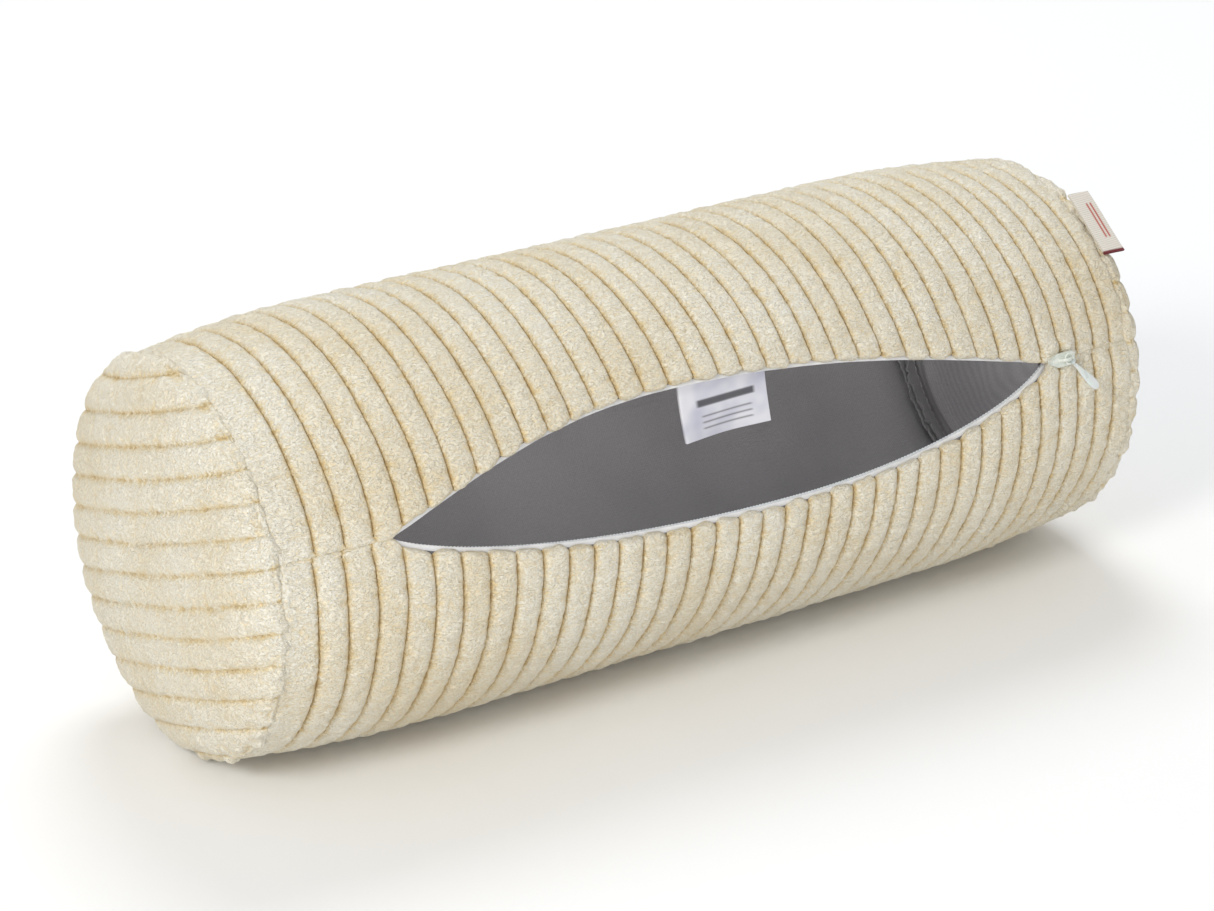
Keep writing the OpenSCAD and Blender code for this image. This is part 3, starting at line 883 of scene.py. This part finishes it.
RING_COUNT, RING_X, RING_AT = 120, 173.9, 60.5  # stitches of an end seam, their x and their radius
for side, word in SIDES:
    pairs = []
    for i in range(RING_COUNT):
        a, b = 2 * pi * i / RING_COUNT, 2 * pi * (i + 0.8) / RING_COUNT
        p, q = (np.array([side * RING_X, RING_AT * cos(v), AXIS_Z + RING_AT * sin(v)]) for v in (a, b))
        pairs.append((p, q, np.array([0.0, -cos(a), -sin(a)])))
    ring = stitches(f"{word}_end_stitches", pairs, material=GREY_THREAD)
    pairs = []
    for s in np.arange(142.5, 163, STITCH_PITCH):
        p, q = (zip_point(side * v, 2.35, ALLOW_R - 1.3) for v in (s, s + STITCH))
        pairs.append((p, q, zip_point(0, 1, 0) - zip_point(0, 0, 0)))
    row = stitches(f"{word}_seam_stitches", pairs, material=GREY_THREAD)
    for piece, node in ((ring, f"{word}_end_stitching"), (row, f"{word}_seam_stitching")):
        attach(piece, "cover")
        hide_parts(node)

# ---------------------------------------------------------------- teardrop pull

PIVOT_Z, RING_R, PULL_DIR = 76.25, 1.8, 50  # PULL_DIR is how far it lies turned down from +X, in degrees


def pull_frame(p):
    """From the pull's own frame (X along it, Z through its flat side) to the object's."""
    a = radians(-PULL_DIR)
    x, y, z = p[..., 0] + RING_R, p[..., 1], p[..., 2]
    return zip_point(SLIDER_X + RING_R + x * cos(a) - y * sin(a), x * sin(a) + y * cos(a), PIVOT_Z + z)


def pull():
    """The milky teardrop, and the bored eye at its neck."""
    length, width, thick = 15.0, 3.6, 1.15
    f = np.linspace(0, 1, 40)
    x = 1.1 + (length - 1.1) * f
    wide = 0.62 + (width / 2 - 0.62) * smooth(f / 0.72) * (1 - 0.1 * smooth((f - 0.72) / 0.28))
    tip = np.sqrt(np.clip(1 - ((np.maximum(f, 0.86) - 0.86) / 0.142) ** 2, 0.02, 1))
    neck = np.sqrt(np.clip(1 - ((0.05 - np.minimum(f, 0.05)) / 0.052) ** 2, 0.05, 1))
    wide = wide * tip * neck
    deep = thick / 2 * np.sqrt(tip) * neck * (1 - 0.12 * np.sin(pi * f))
    around = np.linspace(0, 2 * pi, 20, endpoint=False)
    c, s = np.cos(around), np.sin(around)
    rings = np.stack([x[:, None] + 0 * c, wide[:, None] * np.sign(c) * np.abs(c) ** 0.75,
                      deep[:, None] * np.sign(s) * np.abs(s) ** 0.75], -1)
    body = tube("teardrop_pull", pull_frame(rings), PLASTIC)
    # The eye, a short bored barrel across the neck.
    a = np.linspace(0, 2 * pi, 28, endpoint=False)
    loop = []
    for r, y in ((0.9, -0.62), (0.98, -0.5), (0.98, 0.5), (0.9, 0.62),
                 (0.62, 0.62), (0.56, 0.5), (0.56, -0.5), (0.62, -0.62)):
        loop.append(np.stack([r * np.cos(a), 0 * a + y, r * np.sin(a)], -1))
    eye = tube("teardrop_eye", pull_frame(np.stack(loop, 1)), PLASTIC, closed=True)
    return body, eye


for piece in pull():
    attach(piece, "pull_tab")
    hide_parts("pull_tab")

# ---------------------------------------------------------------- care label and side tag

def folded(name, width, height, place, material, gap=0.35, thick=0.16, rows=40):
    """A ribbon folded along its edge at 0.

    place(a, h, d) puts the point at distance a from the fold, height h and depth d.
    """
    flat = np.linspace(width, gap, 26)
    turn = np.linspace(pi / 2, -pi / 2, 9)[1:-1]
    path = [(a, gap) for a in flat]
    path += [(gap - gap * cos(t), gap * sin(t)) for t in turn]
    path += [(a, -gap) for a in flat[::-1]]
    outward = [(0, 1)] * len(flat) + [(-cos(t), sin(t)) for t in turn] + [(0, -1)] * len(flat)
    path, outward = np.array(path), np.array(outward, float)
    loop = np.concatenate([path + outward * thick / 2, (path - outward * thick / 2)[::-1]])
    h = np.linspace(0, 1, rows)
    H, A = np.meshgrid(h, loop[:, 0], indexing="ij")
    D = np.broadcast_to(loop[:, 1], A.shape)
    piece = tube(name, place(A, H * height, D), material, thin=True)
    return piece, A, H


LABEL_W, LABEL_H = 36.0, 25.6
TAG_W, TAG_H, TAG_OUT, TAG_ANGLE = 9.6, 27.0, 184.0, 55


def label_place(a, h, d):
    # Hangs from the tape: upright at the top, blown out a little and leaning to the right at its foot.
    down = LABEL_H - h
    x = -15.5 + a + 0.13 * down + 0.0016 * down ** 2 + (0.5 * np.sin(a / 9 + 1)) * (down / 25)
    y = -52.5 - d * (1 + 0.6 * np.exp(-a / 3)) + 1.2 * np.sin(a / 36 * 2.6 + 0.4) * (down / 25) ** 1.4
    y = y + 0.25 * np.sin(a / 5.2 + down / 6) * (down / 25)
    return np.stack([x, y, 91.0 + h + 0.02 * (a - 18)], -1)


label, A, H = folded("folded_care_label", LABEL_W, LABEL_H, label_place, SATIN, gap=0.4, rows=110)
# Three thin lines and a bar stand in for its print.
ink = np.zeros(A.shape)
for centre in (0.32, 0.23, 0.14):
    ink = np.maximum(ink, 0.7 * np.exp(-(((H - centre) / 0.013) ** 2)) * (A > 8) * (A < 30))
ink = np.maximum(ink, 0.9 * np.exp(-(((H - 0.52) / 0.055) ** 8)) * (A > 6.5) * (A < 31))
point_values(label, "ink", ink)
LABEL_TURN = lip_angle(3.0, 1) / SWING  # one weight for the whole label, the lip's at x = 3
follow_lip(label, 1, LABEL_TURN)
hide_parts("care_label")

pairs = []
for s in np.arange(-12, 17, 3.4):
    p, q = np.array([s, -51.75, 115.2]), np.array([s + 2.7, -51.75, 115.2])
    pairs.append((p, q, np.array([0, 1.0, 0])))
label_sewn = stitches("care_label_stitches", pairs)
follow_lip(label_sewn, 1, LABEL_TURN)
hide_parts("care_label_stitching")


def tag_place(a, h, d):
    # The fold is outermost, and the cut ends are caught in the seam.
    out = TAG_OUT - a
    y = h - TAG_H / 2
    z = 70.45 + d + 0.5 * np.sin((a - 3) / 4) * 0.6 + 0.5 * np.sin(y / 8)
    return zip_point(out, y, z, TAG_ANGLE)


tag, A, H = folded("folded_side_tag", TAG_W, TAG_H, tag_place, TAG, gap=0.3, thick=0.3)
# Two stripes stand in for its lettering.
stripe = np.zeros(A.shape)
for centre in (2.6, 4.4):
    stripe = np.maximum(stripe, np.exp(-(((A - centre) / 0.4) ** 4)) * (H > 0.24) * (H < 0.82))
point_values(tag, "stripe", stripe)
point_values(tag, "edge", (H < 0.035) * 1.0)
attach(tag, "cover")
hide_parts("side_tag")

# ---------------------------------------------------------------- floor, light and camera

data = bpy.data.meshes.new("floor")
data.from_pydata([(-6, -6, -0.0005), (6, -6, -0.0005), (6, 6, -0.0005), (-6, 6, -0.0005)], [], [(0, 1, 2, 3)])
floor = bpy.data.objects.new("floor", data)
bpy.context.scene.collection.objects.link(floor)
paint = Shader("pale_floor", Roughness=0.9, Specular_IOR_Level=0.1)
paint.bsdf.inputs["Base Color"].default_value = (0.97, 0.97, 0.97, 1)
data.materials.append(paint.material)

world = bpy.data.worlds.new("studio")
bpy.context.scene.world = world
world.use_nodes = True
world.node_tree.nodes["Background"].inputs["Color"].default_value = (0.985, 0.993, 1.0, 1)
world.node_tree.nodes["Background"].inputs["Strength"].default_value = 0.56
bpy.context.scene.view_settings.view_transform = "Standard"


def area_light(name, place, target, size, power, colour=(1, 1, 1)):
    light = bpy.data.lights.new(name, "AREA")
    light.shape, light.size, light.energy, light.color = "DISK", size, power, colour
    lamp = bpy.data.objects.new(name, light)
    lamp.location = place
    lamp.rotation_euler = (Vector(target) - Vector(place)).to_track_quat("-Z", "Y").to_euler()
    lamp.visible_camera = False
    bpy.context.scene.collection.objects.link(lamp)


area_light("key", (-1.5, -0.75, 1.15), (0, 0, 0.07), 0.6, 14.5, (1.0, 0.985, 0.95))
area_light("front", (-0.85, -1.35, 0.5), (0.05, 0, 0.07), 0.5, 3.0, (1.0, 0.94, 0.84))
area_light("top", (0.5, 0.9, 1.6), (0, 0, 0.07), 0.9, 13.5, (0.93, 0.965, 1.0))
# Three small lamps on the barrel's axis light its far wall, and one its right end.
for i, x in enumerate((-0.11, -0.01, 0.09)):
    area_light(f"inside_{i}", (x, -0.012, 0.078), (x + 0.012, 0.07, 0.055), 0.05, 0.043)
area_light("inside_end", (0.135, -0.015, 0.078), (0.2, 0.012, 0.068), 0.04, 0.035)

AZIMUTH, ELEVATION, DISTANCE = radians(-34.0), radians(23.07), 1.2845
target = Vector((-0.0076, 0, 0.0671))
toward = Vector((sin(AZIMUTH) * cos(ELEVATION), -cos(AZIMUTH) * cos(ELEVATION), sin(ELEVATION)))
lens = bpy.data.cameras.new("camera")
lens.sensor_fit, lens.sensor_width, lens.lens = "HORIZONTAL", 36, 108.3
lens.clip_start, lens.clip_end = 0.05, 30
camera = bpy.data.objects.new("camera", lens)
camera.location = target + toward * DISTANCE
camera.rotation_euler = (-toward).to_track_quat("-Z", "Y").to_euler()
bpy.context.scene.collection.objects.link(camera)
bpy.context.scene.camera = camera
